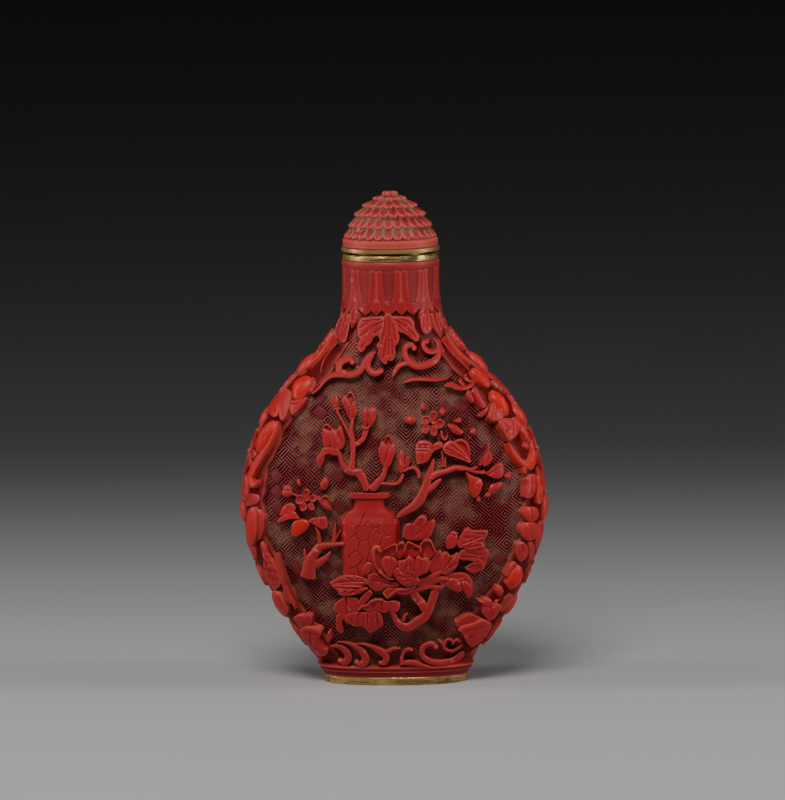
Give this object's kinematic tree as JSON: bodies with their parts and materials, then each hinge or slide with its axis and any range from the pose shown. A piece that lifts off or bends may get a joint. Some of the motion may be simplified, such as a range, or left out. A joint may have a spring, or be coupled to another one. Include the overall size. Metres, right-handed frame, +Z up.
{
  "type": "snuff bottle",
  "caption": "Flattened carved red lacquer snuff bottle, hollow, with a round neck, brass lip and foot rims, and a lift-off domed stopper",
  "frame": {"origin": "under the middle of the foot, on the surface the bottle stands on", "axes": "+Z up the neck, +X to the right of the main face, -Y out of the main face"},
  "size_m": [0.0484, 0.0272, 0.0794],
  "materials": {
    "lacquer": "carved cinnabar lacquer, satin, darker and dusty in the cut ground",
    "worn_lacquer": "carved cinnabar lacquer, worn satin, pale dust between the scales",
    "brass": "old gilt brass, rubbed and tarnished"
  },
  "bodies": {
    "root": {"bottle": "lacquer", "stopper": "worn_lacquer", "lip_rim": "brass", "foot_rim": "brass", "stopper_rim": "brass"}
  },
  "joints": []
}
